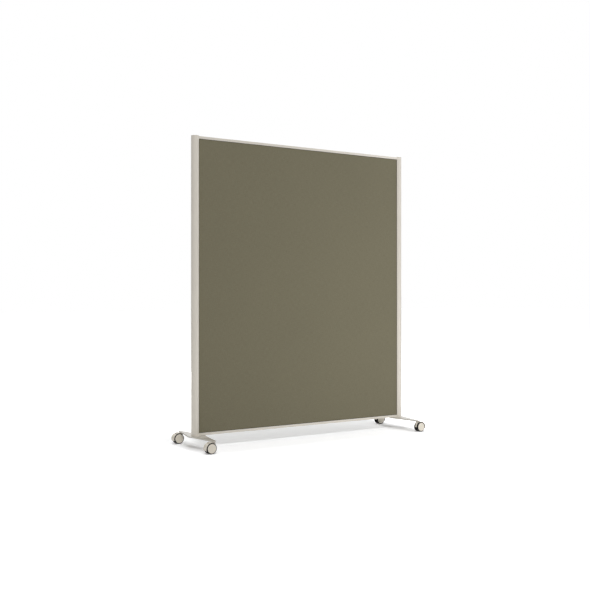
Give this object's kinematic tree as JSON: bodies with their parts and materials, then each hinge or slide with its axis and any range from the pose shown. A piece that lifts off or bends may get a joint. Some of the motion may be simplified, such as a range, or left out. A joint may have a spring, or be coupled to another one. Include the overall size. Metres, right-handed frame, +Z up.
{
  "type": "rolling partition",
  "caption": "Free-standing rolling screen: a fabric-faced panel held between round posts, on flat tapered feet that ride on hooded swivel casters with brake pedals.",
  "frame": {"origin": "on the floor, under the middle of the panel", "axes": "+X along the panel to the right seen from the front, +Y through the panel towards its rear face, +Z up"},
  "size_m": [1.566, 0.45, 1.774],
  "materials": {
    "painted_extrusion": "satin",
    "post_cap": "satin",
    "painted_plate": "satin",
    "plated_steel": "satin",
    "honeycomb_core": "matte",
    "hardboard": "matte",
    "panel_fabric": "matte",
    "caster_plastic": "satin",
    "hub_plastic": "satin",
    "tyre": "matte"
  },
  "bodies": {
    "frame": {"left_post": "painted_extrusion", "right_post": "painted_extrusion", "top_rail": "painted_extrusion", "bottom_rail": "painted_extrusion", "left_post_cap": "post_cap", "right_post_cap": "post_cap", "left_foot": "painted_plate", "right_foot": "painted_plate", "corner_brackets": "plated_steel", "bracket_screws": "plated_steel", "rail_screws": "plated_steel", "post_bolts": "plated_steel", "caster_stems": "plated_steel", "stem_clips": "plated_steel", "panel_core": "honeycomb_core", "front_board": "hardboard", "rear_board": "hardboard", "front_fabric": "panel_fabric", "rear_fabric": "panel_fabric"},
    "front_left_swivel": {"front_left_housing": "caster_plastic", "front_left_axle": "plated_steel", "front_left_pedal_pin": "plated_steel"},
    "front_left_brake": {"front_left_pedal": "caster_plastic"},
    "front_left_front_wheel": {"front_left_front_hub": "hub_plastic", "front_left_front_tyre": "tyre", "front_left_front_disc": "caster_plastic"},
    "front_left_rear_wheel": {"front_left_rear_hub": "hub_plastic", "front_left_rear_tyre": "tyre", "front_left_rear_disc": "caster_plastic"},
    "front_right_swivel": {"front_right_housing": "caster_plastic", "front_right_axle": "plated_steel", "front_right_pedal_pin": "plated_steel"},
    "front_right_brake": {"front_right_pedal": "caster_plastic"},
    "front_right_front_wheel": {"front_right_front_hub": "hub_plastic", "front_right_front_tyre": "tyre", "front_right_front_disc": "caster_plastic"},
    "front_right_rear_wheel": {"front_right_rear_hub": "hub_plastic", "front_right_rear_tyre": "tyre", "front_right_rear_disc": "caster_plastic"},
    "rear_left_swivel": {"rear_left_housing": "caster_plastic", "rear_left_axle": "plated_steel", "rear_left_pedal_pin": "plated_steel"},
    "rear_left_brake": {"rear_left_pedal": "caster_plastic"},
    "rear_left_front_wheel": {"rear_left_front_hub": "hub_plastic", "rear_left_front_tyre": "tyre", "rear_left_front_disc": "caster_plastic"},
    "rear_left_rear_wheel": {"rear_left_rear_hub": "hub_plastic", "rear_left_rear_tyre": "tyre", "rear_left_rear_disc": "caster_plastic"},
    "rear_right_swivel": {"rear_right_housing": "caster_plastic", "rear_right_axle": "plated_steel", "rear_right_pedal_pin": "plated_steel"},
    "rear_right_brake": {"rear_right_pedal": "caster_plastic"},
    "rear_right_front_wheel": {"rear_right_front_hub": "hub_plastic", "rear_right_front_tyre": "tyre", "rear_right_front_disc": "caster_plastic"},
    "rear_right_rear_wheel": {"rear_right_rear_hub": "hub_plastic", "rear_right_rear_tyre": "tyre", "rear_right_rear_disc": "caster_plastic"}
  },
  "joints": [
    {"name": "front_left_swivel_turn", "type": "hinge", "parent": "frame", "child": "front_left_swivel", "pos_m": [-0.73, -0.205, 0.0505], "axis": [0, 0, 1], "continuous": true},
    {"name": "front_left_front_wheel_roll", "type": "hinge", "parent": "front_left_swivel", "child": "front_left_front_wheel", "pos_m": [-0.748, -0.205, 0.031], "axis": [0, 1, 0], "continuous": true},
    {"name": "front_left_rear_wheel_roll", "type": "hinge", "parent": "front_left_swivel", "child": "front_left_rear_wheel", "pos_m": [-0.748, -0.205, 0.031], "axis": [0, 1, 0], "continuous": true},
    {"name": "front_left_brake_press", "type": "hinge", "parent": "front_left_swivel", "child": "front_left_brake", "pos_m": [-0.76214, -0.205, 0.04514], "axis": [0, -1, 0], "range_deg": [0, 6]},
    {"name": "front_right_swivel_turn", "type": "hinge", "parent": "frame", "child": "front_right_swivel", "pos_m": [0.73, -0.205, 0.0505], "axis": [0, 0, 1], "continuous": true},
    {"name": "front_right_front_wheel_roll", "type": "hinge", "parent": "front_right_swivel", "child": "front_right_front_wheel", "pos_m": [0.748, -0.205, 0.031], "axis": [0, 1, 0], "continuous": true},
    {"name": "front_right_rear_wheel_roll", "type": "hinge", "parent": "front_right_swivel", "child": "front_right_rear_wheel", "pos_m": [0.748, -0.205, 0.031], "axis": [0, 1, 0], "continuous": true},
    {"name": "front_right_brake_press", "type": "hinge", "parent": "front_right_swivel", "child": "front_right_brake", "pos_m": [0.76214, -0.205, 0.04514], "axis": [0, 1, 0], "range_deg": [0, 6]},
    {"name": "rear_left_swivel_turn", "type": "hinge", "parent": "frame", "child": "rear_left_swivel", "pos_m": [-0.73, 0.205, 0.0505], "axis": [0, 0, 1], "continuous": true},
    {"name": "rear_left_front_wheel_roll", "type": "hinge", "parent": "rear_left_swivel", "child": "rear_left_front_wheel", "pos_m": [-0.748, 0.205, 0.031], "axis": [0, 1, 0], "continuous": true},
    {"name": "rear_left_rear_wheel_roll", "type": "hinge", "parent": "rear_left_swivel", "child": "rear_left_rear_wheel", "pos_m": [-0.748, 0.205, 0.031], "axis": [0, 1, 0], "continuous": true},
    {"name": "rear_left_brake_press", "type": "hinge", "parent": "rear_left_swivel", "child": "rear_left_brake", "pos_m": [-0.76214, 0.205, 0.04514], "axis": [0, -1, 0], "range_deg": [0, 6]},
    {"name": "rear_right_swivel_turn", "type": "hinge", "parent": "frame", "child": "rear_right_swivel", "pos_m": [0.73, 0.205, 0.0505], "axis": [0, 0, 1], "continuous": true},
    {"name": "rear_right_front_wheel_roll", "type": "hinge", "parent": "rear_right_swivel", "child": "rear_right_front_wheel", "pos_m": [0.748, 0.205, 0.031], "axis": [0, 1, 0], "continuous": true},
    {"name": "rear_right_rear_wheel_roll", "type": "hinge", "parent": "rear_right_swivel", "child": "rear_right_rear_wheel", "pos_m": [0.748, 0.205, 0.031], "axis": [0, 1, 0], "continuous": true},
    {"name": "rear_right_brake_press", "type": "hinge", "parent": "rear_right_swivel", "child": "rear_right_brake", "pos_m": [0.76214, 0.205, 0.04514], "axis": [0, 1, 0], "range_deg": [0, 6]}
  ]
}
